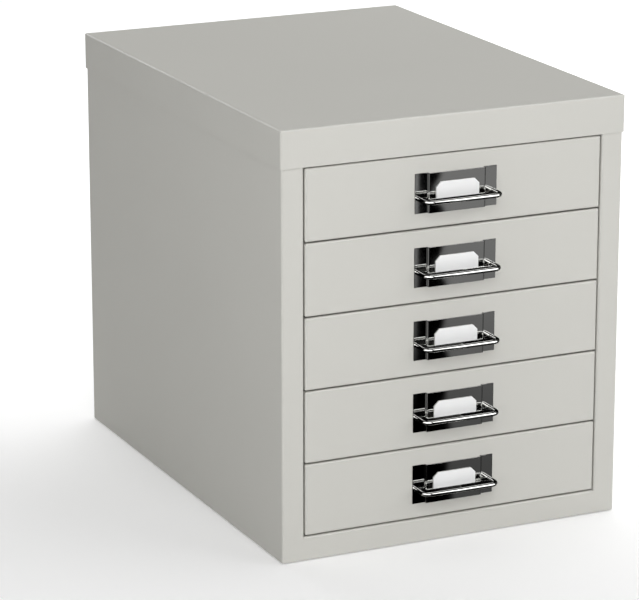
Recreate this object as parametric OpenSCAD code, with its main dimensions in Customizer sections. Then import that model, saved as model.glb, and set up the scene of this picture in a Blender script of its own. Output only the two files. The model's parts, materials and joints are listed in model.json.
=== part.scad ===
// Desktop cabinet of folded sheet steel with five shallow drawers on channel runners.
// X runs to the right, Y to the back and Z up. The origin lies on the floor, at the
// centre of the cabinet's box with the pulls counted in.

/* [Cabinet] */
// Overall width, across the cap
cab_w = 279; // [260:1:340]
// Overall depth, across the cap and without the pulls
cab_d = 380; // [340:1:450]
// Overall height, from the floor to the top of the cap
cab_h = 325; // [290:1:420]
// Thickness of the body's sheet steel
shell_t = 0.9; // [0.7:0.1:1.2]
// Outside radius of the body's folds
fold_r = 1.6; // [1.4:0.1:2.2]
// Width of the flat face on each side of the drawers
stile_w = 17.3; // [16:0.1:22]
// Top of the flat face under the lowest drawer, above the floor
rail_h = 18.6; // [16:0.1:26]
// Depth of the turned-in edges, round the opening and round the drawer fronts
lip_d = 12; // [9:0.5:16]
// Width of the flanges that join the body's sheets at the back
seam_w = 15; // [11:0.5:22]

/* [Cap] */
// Height of the cap's turned-down edge
cap_h = 28.2; // [22:0.1:36]
// Gap between the cap and the body that it covers
cap_fit = 0.1; // [0.05:0.05:0.3]

/* [Base] */
// Clearance under the sides, which stand on the glides
foot_gap = 1; // [0.5:0.1:3]
// Height of the base panel above the lower edge of the sides
base_lift = 2; // [1:0.5:5]
// Height of the base panel's turned-up edge
base_edge_h = 12; // [8:0.5:13]
// Diameter of a glide's head
glide_d = 20; // [14:1:28]
// Rounding of a glide's lower edge
glide_edge = 1.2; // [0.6:0.1:1.4]
// Diameter of a glide's stem
stem_d = 8; // [5:0.5:12]
// Length of a glide's stem above the base panel
stem_h = 4; // [3:0.5:6]
// Distance from the sides to the centre of a glide
glide_inset = 34; // [28:1:60]

/* [Runners] */
// Inside height of a runner's channel
channel_h = 8; // [7:0.1:10]
// Width of a runner's legs
leg_w = 9.6; // [8:0.1:11]
// Room behind the runners
runner_back_gap = 14; // [4:1:19]
// Height left between a runner and the top of its drawer's front
runner_drop = 0.6; // [0.3:0.1:2]
// Distance from the front of a runner to its stop
stop_at = 45; // [30:1:80]
// Drop of the stop below the channel's upper leg
stop_drop = 3.5; // [3:0.1:4]
// Width of the stop
stop_w = 5.5; // [4:0.1:6.5]

/* [Drawers] */
// Gap round each drawer front
drawer_gap = 1.2; // [0.8:0.1:2]
// Thickness of the drawers' sheet steel
drawer_t = 0.8; // [0.6:0.1:0.9]
// Outside radius of the drawers' folds
drawer_r = 1.4; // [1.2:0.1:1.8]
// Room behind the trays
tray_back_gap = 25; // [20:1:60]
// Gap under a tray, above the lower edge of its front
tray_lift = 3; // [2.5:0.1:5]
// Gap between a tray's flange and the runner's lower leg
running_gap = 0.3; // [0.2:0.05:0.5]
// Sideways gap between a tray and its runners
side_gap = 0.6; // [0.4:0.1:1]
// Drop from the top of a tray to the top of its back
back_drop = 5; // [2:0.5:12]
// Gap between a drawer front's edge and the runners
closing_gap = 0.5; // [0.3:0.1:1]
// Width of the flanges that join a tray to its front
tray_seam_w = 10; // [7:0.5:16]

/* [Handles] */
// Width of the handle plate
plate_w = 66.4; // [60:0.1:80]
// Height of the handle plate
plate_h = 29.8; // [26:0.1:36]
// Thickness of the handle plate
plate_t = 0.8; // [0.6:0.1:1]
// Outside radius of the handle plate's folds
plate_r = 1.1; // [1.05:0.05:1.3]
// Width of the handle plate's side flanges
flange_w = 10; // [9:0.1:12]
// Step of the plate's raised middle in front of its flanges
plate_raise = 2.3; // [1.8:0.1:3]
// Height of the handle plate's centre above the drawer front's centre
plate_offset = -0.7; // [-2:0.1:2]
// Diameter of the pull's wire edge
wire_d = 3.2; // [2.6:0.1:3.6]
// Distance from the handle plate's side edges to the middle of the pull's legs
leg_inset = 3.7; // [3:0.1:5]
// Distance from the drawer front to the front of the pull
pull_reach = 17; // [14:0.1:24]
// Radius of the pull's front corners, at the middle of the wire
pull_r = 6; // [4:0.1:9]
// Height of the pull's wire above the drawer front's centre
pull_offset = -4.6; // [-6:0.1:0]
// Thickness of the pull's shelf
shelf_t = 1.2; // [1:0.1:1.4]
// Diameter of the swaged heads behind the drawer front
head_d = 5.2; // [4.6:0.1:6.5]
// Thickness of the swaged heads
head_t = 1; // [0.6:0.1:2]
// Gap round the pull where it passes through or meets other pieces
handle_fit = 0.1; // [0.05:0.05:0.2]

/* [Card] */
// Width of the index card
card_w = 34.8; // [28:0.1:44]
// Height of the index card
card_h = 12.4; // [10:0.1:16]
// Thickness of the index card
card_t = 0.4; // [0.3:0.05:0.5]
// Cut-off at the card's upper corners
card_cut = 3.8; // [2:0.1:5]
// Depth of the groove that the card stands in
groove_d = 0.4; // [0.3:0.05:0.5]
// Gap round the card in its groove
card_fit = 0.1; // [0.05:0.05:0.15]

/* [Hidden] */
$fn = 48;
drawers = 5;
sides = ["left", "right"];
drawer_pieces = ["tray", "back", "front", "handle_plate", "pull", "card"];

paint = "#cfcec8";
zinc = "#b9bcbe";
chromium = "#8c8e90";
black = "#26272a";
white = "#f4f4f2";

// Room for cuts to run past the faces that they cut
past = 1;

// The body under the cap
body_w = cab_w - 2 * (shell_t + cap_fit);
body_d = cab_d - 2 * (shell_t + cap_fit);
pull_over_cap = pull_reach - shell_t - cap_fit;
mid_y = pull_over_cap / 2;
front_y = mid_y - body_d / 2;
rear_y = mid_y + body_d / 2;
body_top = cab_h - max(fold_r, shell_t + cap_fit);
base_z = foot_gap + base_lift;
inner_w = body_w - 2 * shell_t;
inner_r = fold_r - shell_t;
back_y = rear_y - 2 * shell_t;

// The drawer opening, and the drawers that share it
open_w = body_w - 2 * stile_w;
open_top = cab_h - cap_h;
open_h = open_top - rail_h;
pitch = (open_h - drawer_gap) / drawers;
front_w = open_w - 2 * drawer_gap;
front_h = pitch - drawer_gap;
function front_z(k) = rail_h + drawer_gap + (drawers - k) * pitch;

// Liners stand against the turned-in edges of the stiles, runners against the liners
liner_x = open_w / 2 + shell_t;
liner_front = front_y + 2 * shell_t + inner_r + cap_fit;
channel_w = leg_w - shell_t;
runner_outer = channel_h + 2 * shell_t;
runner_front = front_y + lip_d + closing_gap;
runner_rear = back_y - runner_back_gap;
function runner_z(k) = front_z(k) + front_h - runner_drop - runner_outer;

// Trays hang in the runners by their flanges
tray_w = 2 * (liner_x - leg_w - side_gap);
tray_flange = channel_w;
tray_front = front_y + drawer_t;
tray_rear = back_y - tray_back_gap;
tray_h = front_h - runner_drop - channel_h - shell_t + running_gap + drawer_t - tray_lift;
function tray_z(k) = front_z(k) + tray_lift;
function flange_z(k) = runner_z(k) + shell_t + running_gap;
tab_h = channel_h - running_gap - side_gap;

// Handle pieces, in front of the drawer front's face
face_y = front_y - plate_t;
raised_y = face_y - plate_raise;
wire_x = plate_w / 2 - leg_inset;
bar_y = front_y - pull_reach + wire_d / 2;
function front_mid(k) = front_z(k) + front_h / 2;
function wire_z(k) = front_mid(k) + pull_offset;
function shelf_top(k) = wire_z(k) - handle_fit;
card_front = raised_y - 2 * handle_fit - card_fit - card_t;

// ---------------------------------------------------------------- shapes of folded sheet

// Quarter ring of a fold, round the origin, from direction a to a + 90 degrees
module fold_ring(t, r, a) {
    rotate(a)
        intersection() {
            difference() {
                circle(r);
                circle(r - t);
            }
            square(r + past);
        }
}

// Section of a folded sheet, drawn as a walk along +X with the sheet on the left hand.
// Each step is [flat length, turn]. A turn of 1 folds to the left, -1 to the right.
module folded_section(steps, t, r, i = 0) {
    run = steps[i][0];
    turn = steps[i][1];
    square([run, t]);
    if (turn == 1) {
        translate([run, r]) fold_ring(t, r, -90);
        translate([run + r, r]) rotate(90) folded_section(steps, t, r, i + 1);
    }
    if (turn == -1) {
        translate([run, t - r]) fold_ring(t, r, 0);
        translate([run + r - t, t - r]) rotate(-90) folded_section(steps, t, r, i + 1);
    }
}

// Sheet folded along X: its section lies in the Y-Z plane, and x0 to x1 is its length
module folded_along_x(x0, x1) {
    translate([x0, 0, 0]) rotate([90, 0, 90]) linear_extrude(x1 - x0) children();
}

// Sheet folded along Y: its section lies in the X-Z plane, and y0 to y1 is its length
module folded_along_y(y0, y1) {
    translate([0, y1, 0]) rotate([90, 0, 0]) linear_extrude(y1 - y0) children();
}

// Sheet folded along Z, from z0 to z1, with its section in the X-Y plane
module folded_along_z(z0, z1) {
    translate([0, 0, z0]) linear_extrude(z1 - z0) children();
}

// Rectangle whose lower corners are rounded, centred on X and standing on Y = 0
module round_foot(w, h, r) {
    translate([-w / 2 + r, 0]) square([w - 2 * r, h]);
    translate([-w / 2, r]) square([w, h - r]);
    for (s = [-1, 1])
        translate([s * (w / 2 - r), r]) circle(r);
}

// Block whose lower edges and upright corners are rounded
module round_block(w, d, h, r) {
    intersection() {
        rotate([90, 0, 0]) translate([0, 0, -d]) linear_extrude(2 * d) round_foot(w, h, r);
        rotate([90, 0, 90]) translate([0, 0, -w]) linear_extrude(2 * w) round_foot(d, h, r);
        linear_extrude(h)
            union() {
                square([w - 2 * r, d], center = true);
                square([w, d - 2 * r], center = true);
                for (sx = [-1, 1], sy = [-1, 1])
                    translate([sx * (w / 2 - r), sy * (d / 2 - r)]) circle(r);
            }
    }
}

// Shallow pan of sheet: a flat floor at Z = 0 with all four edges turned up to h
module pan(w, d, h, t, r) {
    difference() {
        round_block(w, d, h, r);
        translate([0, 0, t]) round_block(w - 2 * t, d - 2 * t, h + past, r - t);
    }
}

// A piece and its mirror image on the other side of the cabinet
module on_side(side) {
    if (side == "left") children();
    if (side == "right") mirror([1, 0, 0]) children();
}

// ---------------------------------------------------------------- carcase

// Pressed cap: a pan turned over, which covers the top of the body
module top_cap() {
    color(paint)
        translate([0, mid_y, cab_h])
            mirror([0, 0, 1])
                pan(cab_w, cab_d, cap_h, shell_t, fold_r);
}

// One side: rear seam flange, side, stile and the edge turned in beside the drawers.
// The turned-in edge stops above the rail, where the stile meets it edge to edge.
module body_side(side) {
    full = [
        [seam_w - fold_r, 1],
        [body_d - 2 * fold_r, 1],
        [stile_w - 2 * fold_r, 1],
        [lip_d - fold_r, 0]
    ];
    plain = [full[0], full[1], [stile_w - fold_r, 0]];
    color(paint)
        on_side(side)
            union() {
                folded_along_z(rail_h, body_top)
                    side_start() folded_section(full, shell_t, fold_r);
                folded_along_z(foot_gap, rail_h)
                    side_start() folded_section(plain, shell_t, fold_r);
            }
}

module side_start() {
    translate([-body_w / 2 + seam_w, rear_y]) rotate(180) children();
}

// Back panel, behind the drawers and inside the sides' seam flanges
module back_panel() {
    w = inner_w - 2 * inner_r;
    color(paint)
        translate([-w / 2, back_y, foot_gap])
            cube([w, shell_t, body_top - foot_gap]);
}

// Base panel: a pan that ties the sides, the back and the rail together
module base_panel() {
    d = back_y - front_y - shell_t;
    color(paint)
        difference() {
            translate([0, front_y + shell_t + d / 2, base_z])
                pan(inner_w, d, base_edge_h, shell_t, fold_r);
            at_glides()
                translate([0, 0, base_z - past])
                    cylinder(h = shell_t + 2 * past, d = stem_d + handle_fit * 2);
        }
}

// Rail under the drawers, flush with the stiles, its upper edge turned in
module front_rail() {
    steps = [[lip_d - fold_r, 1], [rail_h - foot_gap - fold_r, 0]];
    color(paint)
        folded_along_x(-open_w / 2, open_w / 2)
            translate([front_y + lip_d, rail_h]) rotate(180)
                folded_section(steps, shell_t, fold_r);
}

// Rail behind the front of the cap: a channel that closes the opening at the top
module top_rail() {
    h = body_top - open_top;
    steps = [[seam_w - fold_r, 1], [h - 2 * fold_r, 1], [lip_d - fold_r, 0]];
    color(paint)
        folded_along_x(-open_w / 2, open_w / 2)
            translate([front_y + seam_w, body_top]) rotate(180)
                folded_section(steps, shell_t, fold_r);
}

// Liner: the inner wall that carries the runners. It stands on the base panel and is
// flanged outwards at the back, above the base panel's turned-up edge.
module liner(side) {
    steps = [[seam_w - fold_r, -1], [back_y - liner_front - fold_r, 0]];
    notch_z = base_z + base_edge_h + cap_fit;
    notch_y = back_y - shell_t - inner_r - cap_fit;
    color(paint)
        on_side(side)
            union() {
                folded_along_z(notch_z, body_top)
                    translate([-liner_x - seam_w, back_y - shell_t])
                        folded_section(steps, shell_t, fold_r);
                translate([-liner_x - shell_t, liner_front, base_z + shell_t])
                    cube([shell_t, notch_y - liner_front, notch_z - base_z - shell_t]);
            }
}

// Four glides: a rounded head under the base and a stem pushed up through it
module at_glides() {
    for (sx = [-1, 1], sy = [-1, 1])
        translate([
            sx * (body_w / 2 - glide_inset),
            mid_y + sy * (body_d / 2 - glide_inset),
            0
        ])
            children();
}

module glides() {
    edge = min(base_z / 2, glide_edge);
    color(black)
        at_glides()
            rotate_extrude() {
                square([glide_d / 2 - edge, base_z]);
                translate([0, edge]) square([glide_d / 2, base_z - edge]);
                translate([glide_d / 2 - edge, edge]) circle(edge);
                square([stem_d / 2, base_z + shell_t + stem_h]);
            }
}

// Runner: a channel open towards the drawers, with a stop lanced down out of its upper leg
module runner(k, side) {
    steps = [[leg_w - fold_r, 1], [runner_outer - 2 * fold_r, 1], [leg_w - fold_r, 0]];
    top = runner_z(k) + runner_outer;
    stop_x = -liner_x + shell_t + (channel_w - stop_w) / 2;
    stop_y = runner_front + stop_at;
    color(zinc)
        on_side(side)
            union() {
                difference() {
                    folded_along_y(runner_front, runner_rear)
                        translate([-liner_x + leg_w, top]) rotate(180)
                            folded_section(steps, shell_t, fold_r);
                    translate([stop_x, stop_y - stop_drop, top - shell_t - past])
                        cube([stop_w, stop_drop, shell_t + 2 * past]);
                }
                translate([stop_x, stop_y, top - shell_t - stop_drop])
                    cube([stop_w, shell_t, stop_drop + shell_t]);
            }
}

// ---------------------------------------------------------------- drawers

// Tray: floor, walls and outward flanges in one sheet, with tabs turned up at the back
// of the flanges and seams turned in at the front, against the drawer front
module drawer_tray(k) {
    walls = [
        [tray_flange - drawer_r + drawer_t, -1],
        [tray_h - 2 * drawer_r, 1],
        [tray_w - 2 * drawer_r, 1],
        [tray_h - 2 * drawer_r, -1],
        [tray_flange - drawer_r + drawer_t, 0]
    ];
    flange_front = front_y + lip_d + closing_gap;
    color(paint)
        union() {
            difference() {
                folded_along_y(tray_front, tray_rear)
                    translate([-tray_w / 2 - tray_flange, flange_z(k)])
                        folded_section(walls, drawer_t, drawer_r);
                for (s = [-1, 1])
                    translate([
                        s * (tray_w / 2 + tray_flange / 2 + past),
                        tray_front + (flange_front - tray_front) / 2,
                        flange_z(k)
                    ])
                        cube([tray_flange + 2 * past, flange_front - tray_front,
                              2 * (drawer_t + past)], center = true);
            }
            for (s = [0, 1])
                mirror([s, 0, 0]) {
                    tray_seam(k);
                    tray_tab(k);
                }
            tray_toe(k);
        }
}

// Seam flange at the front end of the tray's left wall
module tray_seam(k) {
    z0 = tray_z(k) + drawer_r;
    z1 = flange_z(k) + drawer_t - drawer_r;
    translate([-tray_w / 2, tray_front, z0])
        cube([tray_seam_w, drawer_t, z1 - z0]);
}

// Tab turned up at the back end of the tray's left flange: it meets the runner's stop
module tray_tab(k) {
    tab_w = tray_flange - drawer_r;
    translate([-tray_w / 2 - tray_flange, tray_rear - drawer_t, flange_z(k)])
        cube([tab_w, drawer_t, tab_h]);
}

// Toe turned up at the front end of the tray's floor
module tray_toe(k) {
    toe_w = tray_w - 2 * drawer_r;
    toe_h = tray_lift + tray_seam_w;
    steps = [[drawer_r, -1], [toe_h - drawer_r, 0]];
    folded_along_x(-toe_w / 2, toe_w / 2)
        translate([tray_front + 2 * drawer_r, tray_z(k) + drawer_t]) rotate(180)
            folded_section(steps, drawer_t, drawer_r);
}

// Drawer back: a wall between the tray's sides. Its sides and its upper edge are turned
// forwards, which makes it a pan on edge with the lower edge cut off.
module drawer_back(k) {
    w = tray_w - 2 * drawer_t;
    z0 = tray_z(k) + drawer_r;
    z1 = tray_z(k) + tray_h - back_drop;
    h = z1 - z0 + tray_seam_w;
    color(paint)
        intersection() {
            translate([0, tray_rear, z1 - h / 2])
                rotate([90, 0, 0])
                    pan(w, h, tray_seam_w, drawer_t, drawer_r);
            translate([-w / 2 - past, tray_rear - tray_seam_w - past, z0])
                cube([w + 2 * past, tray_seam_w + 2 * past, z1 - z0 + past]);
        }
}

// Drawer front: a pan on edge, with two holes for the pull's legs
module drawer_front(k) {
    color(paint)
        difference() {
            translate([0, front_y, front_mid(k)])
                rotate([-90, 0, 0])
                    pan(front_w, front_h, lip_d, drawer_t, drawer_r);
            pull_holes(k, front_y - past, front_y + drawer_t + past);
        }
}

module pull_holes(k, y0, y1) {
    for (s = [-1, 1])
        translate([s * wire_x, y1, wire_z(k)])
            rotate([90, 0, 0])
                cylinder(h = y1 - y0, d = wire_d + 2 * handle_fit);
}

// Handle plate: flat flanges on the drawer front and a middle stepped forwards
module handle_plate(k) {
    rise = plate_raise + plate_t - 2 * plate_r;
    middle_w = plate_w - 2 * flange_w;
    steps = [
        [flange_w - plate_r + plate_t, -1],
        [rise, 1],
        [middle_w - 2 * plate_r, 1],
        [rise, -1],
        [flange_w - plate_r + plate_t, 0]
    ];
    z0 = front_mid(k) + plate_offset - plate_h / 2;
    color(chromium)
        difference() {
            folded_along_z(z0, z0 + plate_h)
                translate([-plate_w / 2, face_y])
                    folded_section(steps, plate_t, plate_r);
            pull_holes(k, face_y - past, front_y + past);
        }
}

// Pull: a wire edge bent round a shelf, its legs swaged behind the drawer front
module pull(k) {
    color(chromium)
        translate([0, 0, wire_z(k)])
            union() {
                for (s = [0, 1])
                    mirror([s, 0, 0]) pull_half();
                pull_shelf();
            }
}

// Right half of the wire: leg, swaged head, corner and half of the front bar
module pull_half() {
    leg_end = front_y + drawer_t;
    corner_y = bar_y + pull_r;
    translate([wire_x, leg_end, 0]) rotate([90, 0, 0])
        cylinder(h = leg_end - corner_y, d = wire_d);
    translate([wire_x, leg_end + head_t, 0]) rotate([90, 0, 0])
        cylinder(h = head_t, d = head_d);
    translate([wire_x - pull_r, corner_y, 0]) rotate(-90)
        rotate_extrude(angle = 90)
            translate([pull_r, 0]) circle(d = wire_d);
    translate([0, bar_y, 0]) rotate([0, 90, 0])
        cylinder(h = wire_x - pull_r, d = wire_d);
}

// Shelf inside the wire edge, cut to the plate behind it and grooved for the card
module pull_shelf() {
    step_x = plate_w / 2 - flange_w + plate_r - plate_t + handle_fit;
    flange_edge = face_y - handle_fit;
    raised_edge = raised_y - handle_fit;
    in_wire = wire_d / 4;
    front_edge = bar_y + in_wire;
    translate([0, 0, -handle_fit - shelf_t])
        difference() {
            linear_extrude(shelf_t)
                difference() {
                    translate([0, front_edge])
                        round_foot(2 * (wire_x - in_wire), flange_edge - front_edge, pull_r - in_wire);
                    translate([-step_x, raised_edge]) square([2 * step_x, plate_raise + past]);
                }
            translate([-card_w / 2 - card_fit, card_front - card_fit, shelf_t - groove_d])
                cube([card_w + 2 * card_fit, card_t + 2 * card_fit, groove_d + past]);
        }
}

// Index card, standing in the shelf's groove in front of the plate
module card(k) {
    half = card_w / 2;
    color(white)
        translate([0, card_front + card_t, shelf_top(k) - groove_d])
            rotate([90, 0, 0])
                linear_extrude(card_t)
                    polygon([
                        [-half, 0],
                        [half, 0],
                        [half, card_h - card_cut],
                        [half - card_cut, card_h],
                        [-half + card_cut, card_h],
                        [-half, card_h - card_cut]
                    ]);
}

// ---------------------------------------------------------------- nodes

top_cap();
top_rail();
body_side("left");  // left_side
body_side("right");  // right_side
back_panel();
base_panel();
front_rail();
liner("left");  // left_liner
liner("right");  // right_liner
glides();
for (k = [1 : drawers]) {
    for (side = sides)
        runner(k, side);
    drawer_tray(k);
    drawer_back(k);
    drawer_front(k);
    handle_plate(k);
    pull(k);
    card(k);
}
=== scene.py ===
# %% [markdown]
# # A small steel drawer cabinet
#
# The cabinet is a folded steel box with five shallow drawers, powder-coated a warm light grey. Each
# drawer has a chrome handle: a stepped plate, a pull made of wire with a thin shelf inside it, and a
# plain card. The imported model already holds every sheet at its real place. This script gives each sheet
# its finish, models the handles as a metalworker would make them, and lights the whole like a small
# studio.

import json
import math

import bmesh
import bpy
from mathutils import Matrix, Vector


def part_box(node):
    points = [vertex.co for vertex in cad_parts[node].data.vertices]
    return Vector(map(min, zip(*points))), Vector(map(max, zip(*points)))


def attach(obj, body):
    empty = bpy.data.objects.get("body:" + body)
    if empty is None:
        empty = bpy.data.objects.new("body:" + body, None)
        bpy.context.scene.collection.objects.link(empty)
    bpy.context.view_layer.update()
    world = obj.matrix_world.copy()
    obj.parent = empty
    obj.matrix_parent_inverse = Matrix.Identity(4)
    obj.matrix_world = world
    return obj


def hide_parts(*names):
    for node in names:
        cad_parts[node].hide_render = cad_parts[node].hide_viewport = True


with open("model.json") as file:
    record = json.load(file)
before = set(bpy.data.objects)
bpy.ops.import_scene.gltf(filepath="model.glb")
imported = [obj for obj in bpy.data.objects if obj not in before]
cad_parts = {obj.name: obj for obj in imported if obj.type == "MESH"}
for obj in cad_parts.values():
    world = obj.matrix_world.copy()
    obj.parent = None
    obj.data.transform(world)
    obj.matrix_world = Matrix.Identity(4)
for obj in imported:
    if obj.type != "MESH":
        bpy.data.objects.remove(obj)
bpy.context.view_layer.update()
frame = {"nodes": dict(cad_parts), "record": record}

MM = 0.001
DRAWERS = range(1, 6)

# %% [markdown]
# ## The camera
#
# The cabinet is seen from the left of its front, a little from above, through a long lens. A long lens
# keeps the upright edges nearly parallel, as product pictures do. The camera is placed by the point that
# it stands at and by the way it turns and tips, which are easier to think about than a rotation matrix.

# %% Camera
camera_at = Vector((-1.0666, -2.2252, 0.8523))
camera_turn = math.radians(-25.105)
camera_tip = math.radians(16.171)
lens_mm = 184.8
sensor_mm = 36

camera_data = bpy.data.cameras.new("camera")
camera_data.lens = lens_mm
camera_data.sensor_width = sensor_mm
camera = bpy.data.objects.new("camera", camera_data)
bpy.context.scene.collection.objects.link(camera)
camera.location = camera_at
camera.rotation_euler = (math.pi / 2 - camera_tip, 0, camera_turn)
bpy.context.scene.camera = camera
print("camera at", [round(v, 2) for v in camera_at], "m; lens", lens_mm, "mm")

# %% [markdown]
# ## Colours and nodes
#
# Colours are written as the hex values that a paint chart or a colour picker gives. Those are sRGB, and
# shaders count in linear light, so one function turns them. A second small function adds a node with its
# settings and links, which keeps each material below down to a few readable lines.

# %% Helpers for materials
def linear(hex_colour):
    """An sRGB hex colour as linear red, green, blue and alpha."""
    parts = [int(hex_colour[i:i + 2], 16) / 255 for i in (1, 3, 5)]
    return [v / 12.92 if v <= 0.04045 else ((v + 0.055) / 1.055) ** 2.4 for v in parts] + [1.0]


def add_node(tree, kind, inputs=None, **settings):
    """Adds a node. An input is a plain value, or an output socket that is linked to it."""
    made = tree.nodes.new(kind)
    for name, value in settings.items():
        setattr(made, name, value)
    for name, value in (inputs or {}).items():
        if isinstance(value, bpy.types.NodeSocket):
            tree.links.new(value, made.inputs[name])
        else:
            made.inputs[name].default_value = value
    return made


def new_material(name):
    """An empty node material: its tree, the surface output and the object's own coordinates."""
    material = bpy.data.materials.new(name)
    material.use_nodes = True
    tree = material.node_tree
    tree.nodes.clear()
    output = add_node(tree, "ShaderNodeOutputMaterial")
    place = add_node(tree, "ShaderNodeTexCoord").outputs["Object"]
    return material, tree, output, place


def grain_scale(size_mm):
    """The scale of a noise whose grains are about size_mm across."""
    return 1 / (size_mm * MM)


# %% [markdown]
# ## Powder coat
#
# The sheets are coated with polyester powder, baked until it flows into one skin. It dries satin, never
# quite flat: close up there is a fine orange peel of about a millimetre, and a long, very shallow wave
# where the thin sheet isn't truly flat. An image of a sprayed sheet could carry both, but two noises need
# no file, never repeat and are given in millimetres. The colour drifts by a part or two in a hundred, as
# the film is a little thicker in some places than in others.

# %% Powder coat
peel_mm = 1.4
wave_mm = 130
peel_height = 0.02 * MM
wave_height = 0.12 * MM
paint_colour = "#cccbc5"
paint_thin_colour = "#c9c8c2"

paint, tree, output, place = new_material("powder_coat")
peel = add_node(
    tree, "ShaderNodeTexNoise", {"Vector": place, "Scale": grain_scale(peel_mm), "Detail": 2.0})
wave = add_node(
    tree, "ShaderNodeTexNoise", {"Vector": place, "Scale": grain_scale(wave_mm), "Detail": 1.0})
paint_tint = add_node(tree, "ShaderNodeMix", {"Factor": wave.outputs["Fac"]}, data_type="RGBA")
paint_tint.inputs["A"].default_value = linear(paint_colour)
paint_tint.inputs["B"].default_value = linear(paint_thin_colour)
wave_bump = add_node(
    tree, "ShaderNodeBump", {"Height": wave.outputs["Fac"], "Strength": 1.0, "Distance": wave_height})
peel_bump = add_node(
    tree, "ShaderNodeBump",
    {"Height": peel.outputs["Fac"], "Strength": 0.35, "Distance": peel_height,
     "Normal": wave_bump.outputs["Normal"]})
paint_skin = add_node(
    tree, "ShaderNodeBsdfPrincipled",
    {"Base Color": paint_tint.outputs["Result"], "Roughness": 0.42, "IOR": 1.5,
     "Normal": peel_bump.outputs["Normal"]})
tree.links.new(paint_skin.outputs["BSDF"], output.inputs["Surface"])
print("finish:", paint.name, "with a peel of", peel_mm, "mm")

# %% [markdown]
# ## Bright chrome
#
# The handle plates and pulls are pressed steel and wire, plated with nickel and a very thin layer of
# chromium. Chromium is a rather dark mirror: it returns a little over half of the light. What one sees in
# it is nearly all reflection, so roughness is low. A faint mottling in patches of a few millimetres
# stands for the handling that every handle gets. It is in the roughness and not in the colour, where it
# would look like dirt.

# %% Chrome plate
chrome_colour = "#c7c7c5"
mottle_mm = 6

chrome, tree, output, place = new_material("chrome_plate")
mottle = add_node(
    tree, "ShaderNodeTexNoise", {"Vector": place, "Scale": grain_scale(mottle_mm), "Detail": 3.0})
polish = add_node(
    tree, "ShaderNodeMapRange",
    {"Value": mottle.outputs["Fac"], "From Min": 0.3, "From Max": 0.75, "To Min": 0.02, "To Max": 0.035})
chrome_skin = add_node(
    tree, "ShaderNodeBsdfPrincipled",
    {"Base Color": linear(chrome_colour), "Metallic": 1.0, "Roughness": polish.outputs["Result"]})
tree.links.new(chrome_skin.outputs["BSDF"], output.inputs["Surface"])
print("finish:", chrome.name, "mottled every", mottle_mm, "mm")

# %% [markdown]
# ## Zinc plate
#
# The runners are rolled strip, bright zinc-plated and never painted, because paint would rub off where
# the trays slide. Rolling leaves fine lines along the strip, so the noise is stretched along the runner.
# Anisotropic reflection could show them too, but it needs a direction laid out on every face. The real
# lines are finer than a hair, and they are drawn coarser here so that they show at all.

# %% Zinc plate
rolled_line_mm = 0.8
rolled_stretch = 0.02
rolled_depth = 0.02 * MM
zinc_dull_colour = "#aeb3b8"
zinc_bright_colour = "#c9cbc9"

zinc, tree, output, place = new_material("zinc_plated_strip")
stretched = add_node(
    tree, "ShaderNodeMapping", {"Vector": place, "Scale": (1.0, rolled_stretch, 1.0)})
rolled = add_node(
    tree, "ShaderNodeTexNoise",
    {"Vector": stretched.outputs["Vector"], "Scale": grain_scale(rolled_line_mm), "Detail": 3.0})
zinc_tint = add_node(tree, "ShaderNodeMix", {"Factor": rolled.outputs["Fac"]}, data_type="RGBA")
zinc_tint.inputs["A"].default_value = linear(zinc_dull_colour)
zinc_tint.inputs["B"].default_value = linear(zinc_bright_colour)
zinc_rough = add_node(
    tree, "ShaderNodeMapRange", {"Value": rolled.outputs["Fac"], "To Min": 0.28, "To Max": 0.46})
zinc_bump = add_node(
    tree, "ShaderNodeBump", {"Height": rolled.outputs["Fac"], "Strength": 0.3, "Distance": rolled_depth})
zinc_skin = add_node(
    tree, "ShaderNodeBsdfPrincipled",
    {"Base Color": zinc_tint.outputs["Result"], "Metallic": 1.0, "Roughness": zinc_rough.outputs["Result"],
     "Normal": zinc_bump.outputs["Normal"]})
tree.links.new(zinc_skin.outputs["BSDF"], output.inputs["Surface"])
print("finish:", zinc.name, "with lines of", rolled_line_mm, "mm")

# %% [markdown]
# ## Card and moulded plastic
#
# The index card is plain white board: matt, with fibres of a few tenths of a millimetre. The glides under
# the base are black polyethylene from a mould with a fine spark-eroded grain, which is drawn a few times
# as coarse as the real one so that it shows. From afar a plain colour would do for both. The noise is
# there for the close views.

# %% White board
fibre_mm = 0.3
fibre_height = 0.02 * MM
white_colour = "#efefef"
fibre_colour = "#e7e8e8"

white_board, tree, output, place = new_material("white_board")
fibre = add_node(
    tree, "ShaderNodeTexNoise", {"Vector": place, "Scale": grain_scale(fibre_mm), "Detail": 4.0})
card_tint = add_node(tree, "ShaderNodeMix", {"Factor": fibre.outputs["Fac"]}, data_type="RGBA")
card_tint.inputs["A"].default_value = linear(white_colour)
card_tint.inputs["B"].default_value = linear(fibre_colour)
fibre_bump = add_node(
    tree, "ShaderNodeBump", {"Height": fibre.outputs["Fac"], "Strength": 0.3, "Distance": fibre_height})
card_skin = add_node(
    tree, "ShaderNodeBsdfPrincipled",
    {"Base Color": card_tint.outputs["Result"], "Roughness": 0.85, "Normal": fibre_bump.outputs["Normal"]})
tree.links.new(card_skin.outputs["BSDF"], output.inputs["Surface"])
print("finish:", white_board.name, "with fibres of", fibre_mm, "mm")

# %% Black polyethylene
grain_mm = 0.5
grain_height = 0.03 * MM
plastic_colour = "#232427"

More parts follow.
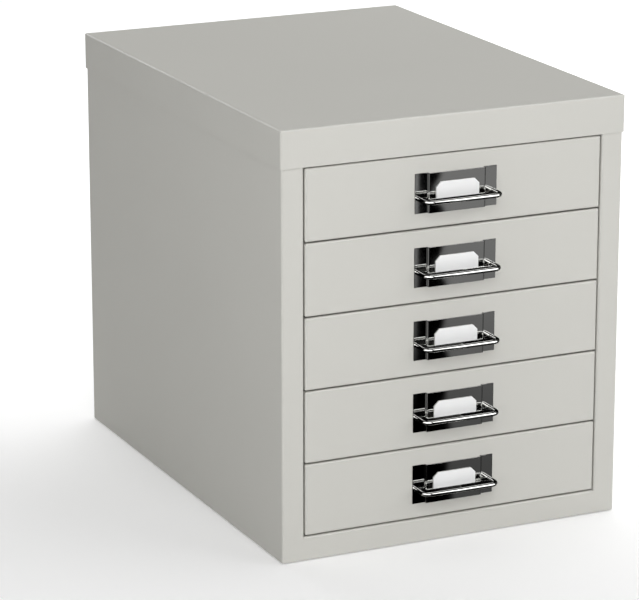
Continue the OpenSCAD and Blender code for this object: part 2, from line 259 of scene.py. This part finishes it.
plastic, tree, output, place = new_material("black_polyethylene")
grain = add_node(
    tree, "ShaderNodeTexNoise", {"Vector": place, "Scale": grain_scale(grain_mm), "Detail": 2.0})
grain_bump = add_node(
    tree, "ShaderNodeBump", {"Height": grain.outputs["Fac"], "Strength": 0.4, "Distance": grain_height})
plastic_skin = add_node(
    tree, "ShaderNodeBsdfPrincipled",
    {"Base Color": linear(plastic_colour), "Roughness": 0.5, "Normal": grain_bump.outputs["Normal"]})
tree.links.new(plastic_skin.outputs["BSDF"], output.inputs["Surface"])
print("finish:", plastic.name, "with a grain of", grain_mm, "mm")

# %% [markdown]
# ## Finishing the sheets
#
# The carcase and the drawers are already right as sheets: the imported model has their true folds. They
# only need their finish, so each one's material slot is filled and their shapes are left alone. The five
# fronts are kept out of reflections. They stand so close behind the handles that the chrome would
# otherwise be filled with pale paint, and chrome looks like chrome only where it is black between its
# lights.

# %% Give every packed sheet its finish
FINISHES = {
    "cabinet_paint": paint,
    "runner_zinc": zinc,
    "handle_chrome": chrome,
    "index_card": white_board,
    "glide_plastic": plastic,
}
slot_of = {row["node"]: row["material_slot"] for row in frame["record"]["subparts"]}
for name, sheet in frame["nodes"].items():
    sheet.data.materials.clear()
    sheet.data.materials.append(FINISHES[slot_of[name]])
for k in DRAWERS:
    frame["nodes"][f"drawer_{k}_front"].visible_glossy = False
print("packed nodes finished:", len(frame["nodes"]))

# %% [markdown]
# ## Working like a sheet metal shop
#
# The handle parts are modelled the way one would by hand: a flat blank or a ring is added at its place,
# edges are pulled out of it step by step, folds are bevelled, and the sheet gets its thickness last. A
# mesh could also be written as lists of points, but nobody can read such a list. A few helpers keep the
# steps readable. `new_piece` adds a primitive by itself and takes its place into the mesh. `select` picks
# parts of the mesh by where they lie, and NEAR is how close two places have to be to count as one.
# `pull_out` extrudes, and `cut_across` adds lines of points.

# %% A helper that adds a piece
def new_piece(name, add_primitive, stretch=(1, 1, 1), **settings):
    """One primitive, stretched to its size, with its place taken into its mesh."""
    bpy.ops.object.select_all(action="DESELECT")
    add_primitive(**settings)
    piece = bpy.context.object
    piece.name = name
    piece.scale = stretch
    bpy.ops.object.transform_apply(location=True, rotation=True, scale=True)
    return piece


# %% Helpers that pick parts of a mesh
NEAR = 0.01 * MM


def at(**place):
    """A test that is true for a part whose corners all lie at this x, y or z."""
    return lambda corners: all(abs(getattr(c, axis) - v) < NEAR for c in corners for axis, v in place.items())


def select(kind, wanted):
    """In edit mode, selects the vertices, edges or faces whose corners pass the test."""
    bpy.ops.mesh.select_mode(type=kind)
    bpy.ops.mesh.select_all(action="DESELECT")
    mesh = bmesh.from_edit_mesh(bpy.context.object.data)
    for part in {"VERT": mesh.verts, "EDGE": mesh.edges, "FACE": mesh.faces}[kind]:
        corners = [part.co] if kind == "VERT" else [v.co for v in part.verts]
        part.select_set(wanted(corners))
    bmesh.update_edit_mesh(bpy.context.object.data)


# %% Helpers that pull and cut
def pull_out(x=0.0, y=0.0, z=0.0):
    """Extrudes what is selected, and leaves the new end selected."""
    bpy.ops.mesh.extrude_region_move(TRANSFORM_OT_translate={"value": (x, y, z)})


def cut_across(axis, places):
    """Cuts the whole mesh at each place along an axis."""
    normal = Vector([axis == name for name in "xyz"])
    for place_along in places:
        bpy.ops.mesh.select_all(action="SELECT")
        bpy.ops.mesh.bisect(plane_co=normal * place_along, plane_no=normal, threshold=NEAR)


def evenly(start, end, count):
    """The inner points that divide a stretch into count equal parts."""
    return [start + (end - start) * i / count for i in range(1, count)]


# %% [markdown]
# ## The handle plate
#
# The plate is one strip of sheet with two folds on each side, so that its middle stands 2.3 mm in front
# of its flanges. It could be carved out of a block, but a folded strip is easier: one flange is added,
# and its edge is walked forwards, across, back and out again. Pressing leaves the middle hollow by a few
# hundredths of a millimetre. That is nothing to the finger, but in a mirror it bends every reflection.

# %% Measure where the first handle goes
plate_low, plate_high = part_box("drawer_1_handle_plate")
pull_low, pull_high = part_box("drawer_1_pull")
card_low, card_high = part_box("drawer_1_card")
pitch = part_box("drawer_1_front")[0].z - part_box("drawer_2_front")[0].z
plate_mid = (plate_low + plate_high) / 2

sheet_t = 0.8 * MM
flange_w = 10 * MM
step_x = plate_high.x - flange_w
flange_face = plate_high.y - sheet_t
raised_face = plate_low.y

wire_r = 1.6 * MM
wire_x = pull_high.x - wire_r
wire_z = (pull_low.z + pull_high.z) / 2
print("step of the plate", round((flange_face - raised_face) / MM, 2), "mm")
print("handle pitch", round(pitch / MM, 2), "mm; wire at", round(wire_x / MM, 2), round(wire_z / MM, 2))

# %% Fold the first handle plate
fold_r = 1.1 * MM
hold = 0.1 * MM
parts_up, parts_across = 10, 16

plate = new_piece(
    "handle_plate_1", bpy.ops.mesh.primitive_plane_add, (flange_w, plate_high.z - plate_low.z, 1), size=1,
    location=(plate_low.x + flange_w / 2, flange_face, plate_mid.z), rotation=(math.pi / 2, 0, 0))
bpy.ops.object.mode_set(mode="EDIT")
select("EDGE", at(x=-step_x))
pull_out(y=raised_face - flange_face)
pull_out(x=2 * step_x)
pull_out(y=flange_face - raised_face)
pull_out(x=flange_w)
for side in (-1, 1):
    select("EDGE", at(x=side * step_x, y=raised_face))
    bpy.ops.mesh.bevel(offset=fold_r, segments=6, affect="EDGES")
    select("EDGE", at(x=side * step_x, y=flange_face))
    bpy.ops.mesh.bevel(offset=fold_r - sheet_t, segments=3, affect="EDGES")
cut_across("z", evenly(plate_low.z, plate_high.z, parts_up))
flat_x = step_x - fold_r
cut_across("x", evenly(-flat_x, flat_x, parts_across))
for side in (-1, 1):
    # cuts close to the folds keep the shading of the flats flat
    cut_across("x", [side * (flat_x - hold), side * (step_x + fold_r - sheet_t + hold)])
print("folded blank: its flat is cut into", parts_across, "by", parts_up, "parts")

# %% Press the middle of the plate slightly hollow
hollow = 0.06 * MM

select("VERT", at(y=raised_face))
plate_blank = bmesh.from_edit_mesh(plate.data)
for point in (v for v in plate_blank.verts if v.select):
    share_across = max(0.0, 1 - (point.co.x / flat_x) ** 2)
    share_up = max(0.0, 1 - ((point.co.z - plate_mid.z) / (plate_mid.z - plate_low.z)) ** 2)
    point.co.y += hollow * share_across * share_up
bmesh.update_edit_mesh(plate.data)
bpy.ops.object.mode_set(mode="OBJECT")
print("pressed blank:", len(plate.data.polygons), "faces")

# %% [markdown]
# The blank has no thickness yet. Solidify gives it its gauge, two drills take out the holes for the legs
# of the pull, and a small bevel rounds every rim, because a sharp edge would catch no light. Each of them
# is a modifier, since those keep even distances where a sheet turns a corner, and `modify` adds one and
# applies it at once.

# %% A helper that applies a modifier
def modify(piece, kind, **settings):
    """Adds one modifier and applies it."""
    modifier = piece.modifiers.new(kind.lower(), kind)
    for name, value in settings.items():
        setattr(modifier, name, value)
    bpy.ops.object.select_all(action="DESELECT")
    piece.select_set(True)
    bpy.context.view_layer.objects.active = piece
    bpy.ops.object.modifier_apply(modifier=modifier.name)


# %% Give the plate its thickness, its holes and its rims
hole_play = 0.1 * MM
drill_length = 4 * MM
wire_points = 32
rim_r = 0.07 * MM

modify(plate, "SOLIDIFY", thickness=sheet_t, offset=-1, use_even_offset=True)
for side in (-1, 1):
    drill = new_piece(
        "drill", bpy.ops.mesh.primitive_cylinder_add, vertices=wire_points, radius=wire_r + hole_play,
        depth=drill_length, location=(side * wire_x, flange_face, wire_z), rotation=(math.pi / 2, 0, 0))
    modify(plate, "BOOLEAN", object=drill, operation="DIFFERENCE", solver="EXACT")
    bpy.data.objects.remove(drill)
modify(plate, "BEVEL", width=rim_r, segments=2, limit_method="ANGLE", angle_limit=math.radians(50))
bpy.ops.object.shade_smooth_by_angle(angle=math.radians(20))
print("handle plate:", len(plate.data.polygons), "faces")

# %% [markdown]
# ## The pull
#
# The pull is a wire bent into a flat U, with a thin shelf inside it that the finger presses against and
# that the card stands on. The wire is one ring of points that travels: along the bar, round the corner by
# a spin, along the leg, and out into the head that is swaged behind the drawer front. Only the right half
# is made, because the Mirror modifier gives the left one. A curve with a round bevel could draw the wire
# too, but its swaged heads would then be pieces of their own.

# %% Model the wire of the first pull
front_t = 0.8 * MM
head_r = 2.6 * MM
corner_r = 6 * MM
bar_y = pull_low.y + wire_r
corner_y = bar_y + corner_r
leg_end = plate_high.y + front_t
SWAGED_HEAD = (
    # (how far the ring moves to the rear, what it is then scaled by)
    (0.0, head_r / wire_r),
    (0.7 * MM, 1.0),
    (0.22 * MM, 0.86),
    (0.08 * MM, 0.5),
)

pull = new_piece(
    "pull_1", bpy.ops.mesh.primitive_circle_add, vertices=wire_points, radius=wire_r,
    location=(0, bar_y, wire_z), rotation=(0, math.pi / 2, 0))
bpy.ops.object.mode_set(mode="EDIT")
bpy.ops.mesh.select_all(action="SELECT")
pull_out(x=wire_x - corner_r)
bpy.ops.mesh.spin(
    steps=12, angle=math.pi / 2, center=(wire_x - corner_r, corner_y, wire_z), axis=(0, 0, -1))
pull_out(y=leg_end - corner_y)
for step, size in SWAGED_HEAD:
    pull_out(y=step)
    ring = [v.co for v in bmesh.from_edit_mesh(pull.data).verts if v.select]
    bpy.ops.transform.resize(value=(size, 1, size), center_override=sum(ring, Vector()) / len(ring))
bpy.ops.mesh.edge_face_add()
bpy.ops.object.mode_set(mode="OBJECT")
modify(pull, "MIRROR", use_axis=(True, False, False), use_mirror_merge=True, merge_threshold=NEAR)
print("wire:", len(pull.data.polygons), "faces")

# %% [markdown]
# The shelf is pressed from thin strip with sharp ribs along it, like the teeth of a file, for grip. It is
# drawn flat as half a blank with a rounded front corner and cut across where the ribs rise and fall. The
# ribs could be a bump in the material, but only a real shape is kept when the model leaves Blender. Every
# second line of points is then lowered, and the points of the round corner take their height from between
# them. Teeth this steep send most of the light up or down and not to the eye, so the shelf looks dark
# between its bright neighbours. The wide flat trough in front of the plate is where the card stands.

# %% Cut the blank of the shelf
shelf_drop = 0.1 * MM  # from the middle of the wire down to the tips of the ribs
shelf_top = wire_z - shelf_drop
shelf_t = 0.7 * MM
rib_pitch = 1.3 * MM
rib_depth = 0.46 * MM
seat_w = 0.6 * MM  # the flat trough that the card stands in
play = 0.1 * MM
notch_play = 0.4 * MM  # beside the raised middle of the plate
in_wire = 0.8 * MM  # how far the shelf reaches into the wire
shelf_x = wire_x - in_wire
shelf_front = bar_y + in_wire
shelf_rear = raised_face - play
notch_x = step_x + notch_play
card_y = (card_low.y + card_high.y) / 2

shelf = new_piece(
    "shelf", bpy.ops.mesh.primitive_plane_add, (shelf_x, shelf_rear - shelf_front, 1), size=1,
    location=(shelf_x / 2, (shelf_front + shelf_rear) / 2, shelf_top))
bpy.ops.object.mode_set(mode="EDIT")
select("VERT", at(x=shelf_x, y=shelf_front))
bpy.ops.mesh.bevel(offset=corner_r - in_wire, segments=8, affect="VERTICES")
cut_across("x", [notch_x])
select("EDGE", lambda corners: all(abs(c.y - shelf_rear) < NEAR and c.x > notch_x - NEAR for c in corners))
pull_out(y=flange_face - play - shelf_rear)
print("shelf:", round(2 * shelf_x / MM, 1), "mm wide")

# %% Rib the shelf
seat_front = card_y - seat_w / 2
seat_rear = card_y + seat_w / 2
front_ribs = int((seat_front - shelf_front) / rib_pitch)
side_rear = flange_face - play
rear_ribs = round((side_rear - seat_rear) / rib_pitch)
rear_pitch = (side_rear - seat_rear) / rear_ribs
troughs = [seat_front - rib_pitch * i for i in range(front_ribs + 1)]
crests = [trough - rib_pitch / 2 for trough in troughs[:-1]]
troughs += [seat_rear + rear_pitch * i for i in range(rear_ribs + 1)]
crests += [trough - rear_pitch / 2 for trough in troughs[-rear_ribs:]]
cut_across("y", troughs[:-1] + crests)
ribs = sorted([(y, rib_depth) for y in troughs] + [(y, 0.0) for y in crests])
shelf_blank = bmesh.from_edit_mesh(shelf.data)
for point in shelf_blank.verts:
    for (y, drop), (next_y, next_drop) in zip(ribs, ribs[1:]):
        if point.co.y < next_y + NEAR:
            break
    along = min(max((point.co.y - y) / (next_y - y), 0.0), 1.0)
    point.co.z -= drop + (next_drop - drop) * along
bmesh.update_edit_mesh(shelf.data)
bpy.ops.object.mode_set(mode="OBJECT")
modify(shelf, "MIRROR", use_axis=(True, False, False), use_mirror_merge=True, merge_threshold=NEAR)
modify(shelf, "SOLIDIFY", thickness=shelf_t, offset=-1, use_even_offset=True)
print("shelf:", len(crests), "ribs")

# %% Join the shelf to the wire
for part in (pull, shelf):
    bpy.ops.object.select_all(action="DESELECT")
    part.select_set(True)
    bpy.context.view_layer.objects.active = part
    bpy.ops.object.mode_set(mode="EDIT")
    bpy.ops.mesh.select_all(action="SELECT")
    bpy.ops.mesh.normals_make_consistent(inside=False)
    bpy.ops.object.mode_set(mode="OBJECT")
bpy.ops.object.select_all(action="DESELECT")
shelf.select_set(True)
pull.select_set(True)
bpy.context.view_layer.objects.active = pull
bpy.ops.object.join()
bpy.ops.object.shade_smooth_by_angle(angle=math.radians(40))
print("pull:", len(pull.data.polygons), "faces")

# %% [markdown]
# ## The card
#
# A plain card with its two upper corners cut off, so that it slides in past the handle easily. The blank
# is one upright plane whose upper corners are bevelled with a single straight cut each. A Boolean could
# take the corners off too, but it needs a cutter for each of them.

# %% Model the first card
card_cut = 3.8 * MM
card_rim = 0.08 * MM
card_t = card_high.y - card_low.y

card = new_piece(
    "card_1", bpy.ops.mesh.primitive_plane_add, (card_high.x - card_low.x, card_high.z - card_low.z, 1),
    size=1, location=(0, card_low.y, (card_low.z + card_high.z) / 2), rotation=(math.pi / 2, 0, 0))
bpy.ops.object.mode_set(mode="EDIT")
select("VERT", at(z=card_high.z))
bpy.ops.mesh.bevel(offset=card_cut, segments=1, affect="VERTICES")
bpy.ops.object.mode_set(mode="OBJECT")
modify(card, "SOLIDIFY", thickness=card_t, offset=-1)
modify(card, "BEVEL", width=card_rim, segments=2, harden_normals=True)
print("card:", len(card.data.polygons), "faces")

# %% [markdown]
# ## One set for each drawer
#
# The five handles are alike. Each drawer gets its own copy of each mesh, moved down by the pitch of the
# drawers, because a finished piece carries its place in its mesh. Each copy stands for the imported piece
# that it replaces, on the same drawer. A plate lies almost flat on its front, and all that one would see
# of its shadow is a smear along its edges, so it casts none.

# %% Copy the handles down
HANDLE_PIECES = {
    # piece: (the model, its finish, its slot)
    "handle_plate": (plate, chrome, "handle_chrome"),
    "pull": (pull, chrome, "handle_chrome"),
    "card": (card, white_board, "index_card"),
}
for kind, (model, finish, slot) in HANDLE_PIECES.items():
    model.data.materials.clear()
    model.data.materials.append(finish)
    for k in DRAWERS:
        piece = model
        if k > 1:
            piece = model.copy()
            piece.data = model.data.copy()
            piece.name = f"{kind}_{k}"
            piece.data.transform(Matrix.Translation((0, 0, -(k - 1) * pitch)))
            bpy.context.scene.collection.objects.link(piece)
        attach(piece, f"drawer_{k}")
        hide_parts(f"drawer_{k}_{kind}")
        if kind == "handle_plate":
            piece.visible_diffuse = False
            piece.visible_shadow = False
print("handle pieces:", len(HANDLE_PIECES) * len(DRAWERS))

# %% [markdown]
# ## The studio
#
# The floor is white and glows a little, more so towards the back, where a studio lights its backdrop by
# itself. Chrome shows whatever stands around it, so the floor is kept out of reflections: the handles
# then mirror only what is put there for them.

# %% Floor
floor_size = 12
floor_colour = "#f2f2f2"
glow_near = 0.175
glow_far = 0.19
backdrop_from = 0.0
backdrop_to = 0.4

floor_material, tree, output, place = new_material("studio_floor")
floor_place = add_node(tree, "ShaderNodeSeparateXYZ", {"Vector": place})
floor_glow = add_node(
    tree, "ShaderNodeMapRange",
    {"Value": floor_place.outputs["Y"], "From Min": backdrop_from, "From Max": backdrop_to,
     "To Min": glow_near, "To Max": glow_near + glow_far}, interpolation_type="SMOOTHSTEP")
floor_skin = add_node(
    tree, "ShaderNodeBsdfPrincipled",
    {"Base Color": linear(floor_colour), "Roughness": 0.9, "Emission Color": linear("#ffffff"),
     "Emission Strength": floor_glow.outputs["Result"]})
tree.links.new(floor_skin.outputs["BSDF"], output.inputs["Surface"])

floor = new_piece("studio_floor", bpy.ops.mesh.primitive_plane_add, size=floor_size)
floor.data.materials.append(floor_material)
floor.visible_glossy = False
print("floor:", [round(v, 1) for v in floor.dimensions], "m")

# %% [markdown]
# ## Lights
#
# Each light is a soft box, given by the compass: its turn from the front of the cabinet, plus to the left
# and minus to the right, its rise as an angle, its distance and its size. Paint and chrome want different
# lights, so each one is seen either by matt surfaces or by mirrors. One bright sky would do for the
# paint, but it would fill the chrome with white. The paint gets broad light from all round, mostly from
# above, which leaves the gaps between the drawers dark. The chrome gets shapes to mirror: a tall strip on
# the right draws the bright line along each bar, and a low wide box on the left draws the lines along the
# legs.
#
# Some lights fall on one kind of piece alone, which is called light linking. One lifts the white cards,
# and two make the folded edges of the painted sheets gleam. Four are for the pulls: the first carries the
# bright line round the right corner, and the other three do so at the left one, after a dark notch.

# %% Pieces that have lights of their own
LIT_ALONE = {
    # use: the pieces that this light falls on
    "cards": [bpy.data.objects[f"card_{k}"] for k in DRAWERS],
    "pulls": [bpy.data.objects[f"pull_{k}"] for k in DRAWERS],
    "folds": [sheet for name, sheet in frame["nodes"].items() if slot_of[name] == "cabinet_paint"],
}
for use, pieces in LIT_ALONE.items():
    LIT_ALONE[use] = bpy.data.collections.new(use)
    for piece in pieces:
        LIT_ALONE[use].objects.link(piece)

# %% Lights
aim = Vector((0, 0, 0.15))


def towards(turn, rise):
    """The unit direction at this turn from the front and this rise, in degrees."""
    a, e = math.radians(turn), math.radians(rise)
    return Vector((-math.sin(a) * math.cos(e), -math.cos(a) * math.cos(e), math.sin(e)))


LIGHTS = {
    # name: (turn, rise, distance, width, height, watts, what it is for)
    "front": (15, 38, 3.0, 1.6, 1.2, 30.5, "paint"),
    "near_left": (60, 30, 1.3, 0.8, 0.8, 3.0, "paint"),
    "low_left": (50, 4, 1.6, 1.0, 0.3, 3.3, "paint"),
    "front_right": (-45, 22, 2.4, 1.6, 2.0, 18.4, "paint"),
    "side_right": (-90, 25, 2.4, 1.6, 1.6, 21.5, "paint"),
    "back_right": (-135, 35, 2.4, 1.6, 1.6, 20.5, "paint"),
    "back": (180, 45, 2.4, 1.6, 1.6, 18.7, "paint"),
    "cards": (0, 50, 2.0, 1.2, 0.6, 7.5, "cards"),
    "folds_front": (-54, 58, 2.4, 1.2, 0.8, 18.0, "folds"),
    "folds_left": (168, 25, 2.4, 0.6, 0.6, 8.0, "folds"),
    "strip_right": (-29.2, 27, 2.4, 0.56, 3.2, 14.0, "chrome"),
    "box_left": (35, 22.5, 3.0, 2.8, 0.58, 15.0, "chrome"),
    "strip_side": (-50, 19, 2.4, 1.6, 2.34, 27.0, "pulls"),
    "corner_low": (13.5, 14, 3.0, 1.95, 0.95, 15.0, "pulls"),
    "corner_high": (13.5, 47, 3.0, 1.37, 1.6, 18.0, "pulls"),
    "corner_left": (69, 30, 1.6, 2.24, 1.63, 29.0, "pulls"),
    "below_left": (55, -10, 1.2, 0.87, 0.38, 0.3, "chrome"),
}
for name, (turn, rise, distance, width, height, watts, use) in LIGHTS.items():
    light_data = bpy.data.lights.new(name, "AREA")
    light_data.shape = "RECTANGLE"
    light_data.size = width
    light_data.size_y = height
    light_data.energy = watts
    light = bpy.data.objects.new(name, light_data)
    light.location = aim + towards(turn, rise) * distance
    light.rotation_euler = (aim - light.location).to_track_quat("-Z", "Y").to_euler()
    light.visible_camera = False
    light.visible_diffuse = use in ("paint", "cards")
    light.visible_glossy = use in ("chrome", "pulls", "folds")
    bpy.context.scene.collection.objects.link(light)
    if use in LIT_ALONE:
        light.light_linking.receiver_collection = LIT_ALONE[use]
print("lights:", len(LIGHTS))

# %% [markdown]
# ## The air around
#
# The world itself gives only a trace of white, so that the deepest gaps aren't quite black. The picture
# takes the colours as they are, with no tone curve like that of film, because the paint's grey has to
# stay what it is.

# %% World
air_light = 0.004

world = bpy.data.worlds.new("studio_air")
world.use_nodes = True
world.node_tree.nodes["Background"].inputs["Color"].default_value = linear("#ffffff")
world.node_tree.nodes["Background"].inputs["Strength"].default_value = air_light
bpy.context.scene.world = world
bpy.context.scene.view_settings.view_transform = "Standard"
print("world:", world.name, "at", air_light)

# %% [markdown]
# ## What the plates see
#
# A mirror shows the room in front of it. The plates look down to the front right, so a grey board stands
# there, lighter at the top, and gives each plate a grey that deepens from the top drawer to the bottom
# one. A stripe of the board is left black, which draws the dark band beside each card, and a narrow grey
# slip past the stripe lights the edge of each left flange. The board is placed as a photographer does it:
# from the spot where the mirrored camera would stand, through the plates, and on. Its lengths are those
# of the plates, and `across` and `upwards` turn them into lengths on the board. Only reflections see it.

# %% Where the board stands
board_distance = 1.2

last_plate_mid = sum(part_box("drawer_5_handle_plate"), Vector()) / 2
middle = (plate_mid + last_plate_mid) / 2
middle.y = raised_face
camera_image = Vector((camera_at.x, 2 * raised_face - camera_at.y, camera_at.z))
sight = middle - camera_image
outwards = sight.normalized()
magnified = (sight.length + board_distance) / sight.length
across = magnified * math.cos(camera_turn)
upwards = magnified * math.cos(camera_tip)
reach_up = upwards * (plate_mid.z - last_plate_mid.z) / 2
print("grey board:", board_distance, "m from the plates, drawn", round(magnified, 2), "times their size")

# %% What the board shows
# places on the plates, counted from their middle and plus to the right, and how bright it is there
grey_left_high, grey_left_low = -10.8 * MM, -2.5 * MM
soft_grey = 2.2 * MM
grey_low, grey_high = 0.092, 0.27
slip_left, slip_right = -37 * MM, -30.2 * MM
soft_slip = 1.5 * MM
slip_low, slip_high = 0.0, 0.32
slip_from = 0.6  # how far down the slip begins to glow, as a share of reach_up

grey_material, tree, output, place = new_material("grey_board")
spot = add_node(tree, "ShaderNodeSeparateXYZ", {"Vector": place})


def along_board(axis, start, end, low=0.0, high=1.0):
    """A smooth change from low to high between two places on the board."""
    return add_node(
        tree, "ShaderNodeMapRange",
        {"Value": spot.outputs[axis], "From Min": start, "From Max": end, "To Min": low, "To Max": high},
        interpolation_type="SMOOTHSTEP").outputs["Result"]


def times(first, second):
    """One value of the board times another."""
    made = add_node(tree, "ShaderNodeMath", operation="MULTIPLY")
    tree.links.new(first, made.inputs[0])
    tree.links.new(second, made.inputs[1])
    return made.outputs["Value"]


# the board's own X runs to its left, as it faces the plates, and the edge of the grey leans
grey_left = (grey_left_high + grey_left_low) / 2
leaning = add_node(tree, "ShaderNodeMath", {"Value": spot.outputs["Y"]}, operation="MULTIPLY_ADD")
leaning.inputs[1].default_value = across * (grey_left_high - grey_left_low) / (2 * reach_up)
tree.links.new(spot.outputs["X"], leaning.inputs[2])
grey_edge = add_node(
    tree, "ShaderNodeMapRange",
    {"Value": leaning.outputs["Value"], "From Min": -across * (grey_left - soft_grey),
     "From Max": -across * (grey_left + soft_grey)}, interpolation_type="SMOOTHSTEP")
grey = times(grey_edge.outputs["Result"], along_board("Y", -reach_up, reach_up, grey_low, grey_high))
slip = times(
    times(along_board("X", -across * (slip_right + soft_slip), -across * (slip_right - soft_slip)),
          along_board("X", -across * (slip_left - soft_slip), -across * (slip_left + soft_slip))),
    along_board("Y", -reach_up * slip_from, reach_up, slip_low, slip_high))
grey_and_slip = add_node(tree, "ShaderNodeMath", operation="ADD")
tree.links.new(grey, grey_and_slip.inputs[0])
tree.links.new(slip, grey_and_slip.inputs[1])
board_light = add_node(
    tree, "ShaderNodeEmission", {"Color": linear("#ffffff"), "Strength": grey_and_slip.outputs["Value"]})
tree.links.new(board_light.outputs["Emission"], output.inputs["Surface"])
print("the board shows:", grey_material.name, "from", grey_low, "to", grey_high)

# %% Make the board
board_right = 250 * MM
board_margin = 20 * MM

grey_board = new_piece("grey_board", bpy.ops.mesh.primitive_plane_add, size=1)
left_end = -across * (slip_left - 3 * soft_slip)
right_end = -across * board_right
board_height = 2 * reach_up + upwards * (plate_high.z - plate_low.z) + board_margin
for point in grey_board.data.vertices:
    point.co.x = left_end if point.co.x > 0 else right_end
    point.co.y *= board_height
grey_board.location = middle + outwards * board_distance
grey_board.rotation_euler = (-outwards).to_track_quat("Z", "Y").to_euler()
grey_board.data.materials.append(grey_material)
grey_board.visible_camera = False
grey_board.visible_diffuse = False
grey_board.visible_shadow = False
grey_board.visible_transmission = False
print("grey board:", round(left_end - right_end, 2), "by", round(board_height, 2), "m")
